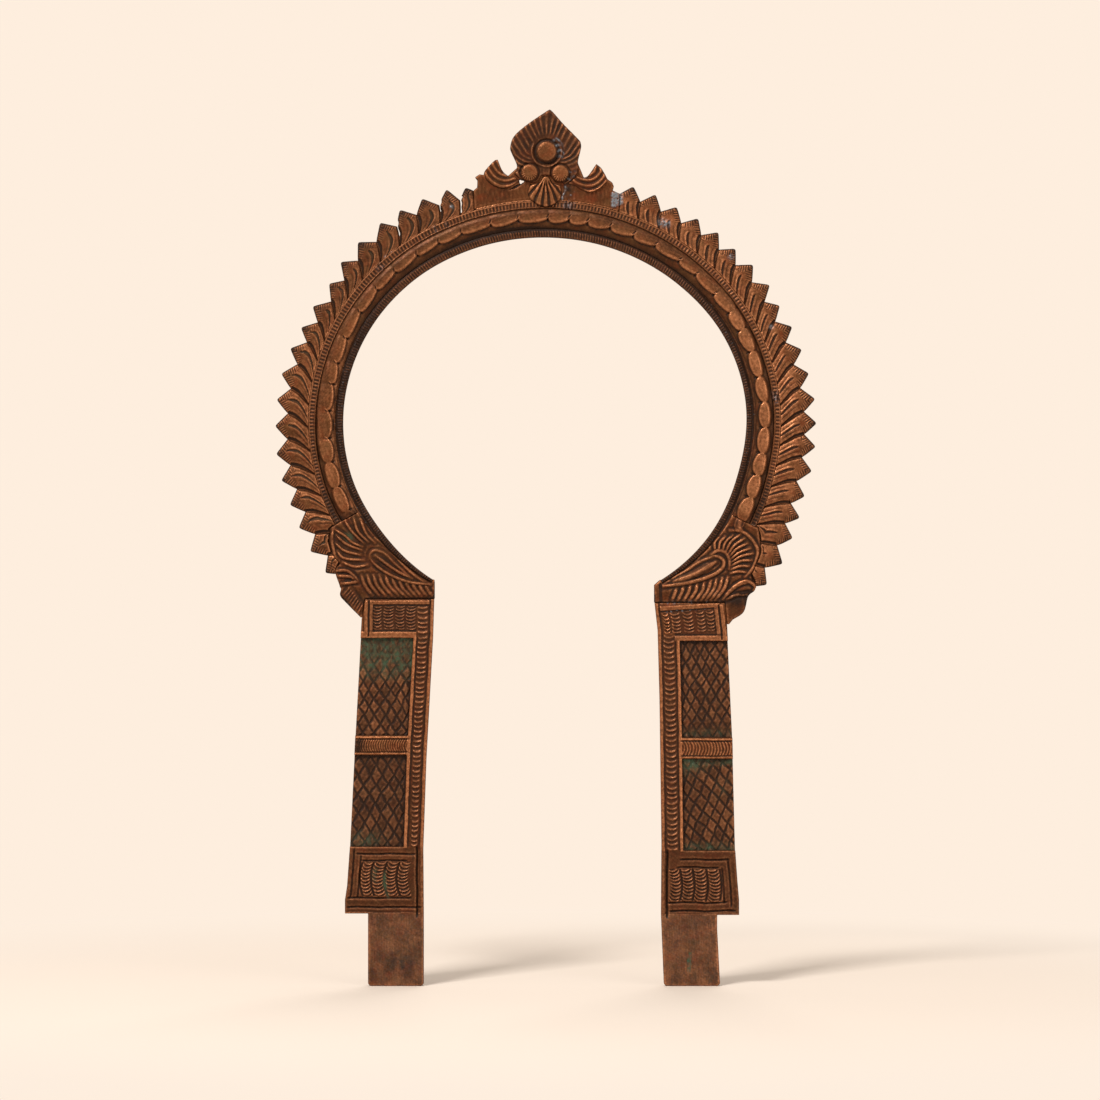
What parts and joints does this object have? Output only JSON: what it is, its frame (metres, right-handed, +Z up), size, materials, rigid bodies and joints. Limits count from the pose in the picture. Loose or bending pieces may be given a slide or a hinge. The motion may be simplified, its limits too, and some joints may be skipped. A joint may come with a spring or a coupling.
{
  "type": "deity aureole",
  "caption": "Copper arch for the back of a shrine figure: round opening with a leafy rim and crest, on two chased legs whose tenons slot into a pedestal.",
  "frame": {"origin": "midway between the lower ends of the two tenons, in the mid plane of their thickness, where the pedestal's slots hold the arch", "axes": "+Z up along the arch's height, +X to the right seen from the front, -Y out of the ornamented front face"},
  "size_m": [0.227, 0.0066, 0.3678],
  "materials": {
    "patina_copper": "aged copper with a brown patina, worn brighter on the ridges",
    "leaf_copper": "aged copper, chased with curved veins and a fringe of fine ticks",
    "frame_copper": "aged copper with punched crescents and worn edges",
    "worn_copper": "rubbed copper, satin and brighter than the rest",
    "dark_copper": "aged copper with dark brown tarnish in the recesses",
    "back_copper": "plain hammered copper back with a dull brown patina",
    "verdigris_copper": "aged copper with green verdigris in the grooves"
  },
  "bodies": {
    "root": {"leaf_left_01": "leaf_copper", "leaf_left_02": "leaf_copper", "leaf_left_03": "leaf_copper", "leaf_left_04": "leaf_copper", "leaf_left_05": "leaf_copper", "leaf_left_06": "leaf_copper", "leaf_left_07": "leaf_copper", "leaf_left_08": "leaf_copper", "leaf_left_09": "leaf_copper", "leaf_left_10": "leaf_copper", "leaf_left_11": "leaf_copper", "leaf_left_12": "leaf_copper", "leaf_left_13": "leaf_copper", "leaf_left_14": "leaf_copper", "leaf_left_15": "leaf_copper", "leaf_left_16": "leaf_copper", "leaf_left_17": "leaf_copper", "leaf_left_18": "leaf_copper", "leaf_left_19": "leaf_copper", "leaf_left_20": "leaf_copper", "leaf_right_01": "leaf_copper", "leaf_right_02": "leaf_copper", "leaf_right_03": "leaf_copper", "leaf_right_04": "leaf_copper", "leaf_right_05": "leaf_copper", "leaf_right_06": "leaf_copper", "leaf_right_07": "leaf_copper", "leaf_right_08": "leaf_copper", "leaf_right_09": "leaf_copper", "leaf_right_10": "leaf_copper", "leaf_right_11": "leaf_copper", "leaf_right_12": "leaf_copper", "leaf_right_13": "leaf_copper", "leaf_right_14": "leaf_copper", "leaf_right_15": "leaf_copper", "leaf_right_16": "leaf_copper", "leaf_right_17": "leaf_copper", "leaf_right_18": "leaf_copper", "leaf_right_19": "leaf_copper", "leaf_right_20": "leaf_copper", "leaf_right_21": "leaf_copper", "arch_back_plate": "back_copper", "arch_inner_rim": "dark_copper", "arch_bead_moulding": "worn_copper", "arch_milled_band": "patina_copper", "shoulder_left": "patina_copper", "shoulder_right": "patina_copper", "leg_frame_left": "frame_copper", "leg_frame_right": "frame_copper", "lattice_panel_left": "verdigris_copper", "lattice_panel_right": "verdigris_copper", "crest_ground": "patina_copper", "crest_palmette": "dark_copper", "crest_volute_left": "patina_copper", "crest_volute_right": "patina_copper", "crest_shell": "worn_copper", "crest_boss_centre": "worn_copper", "crest_boss_left": "worn_copper", "crest_boss_right": "worn_copper"}
  },
  "joints": []
}
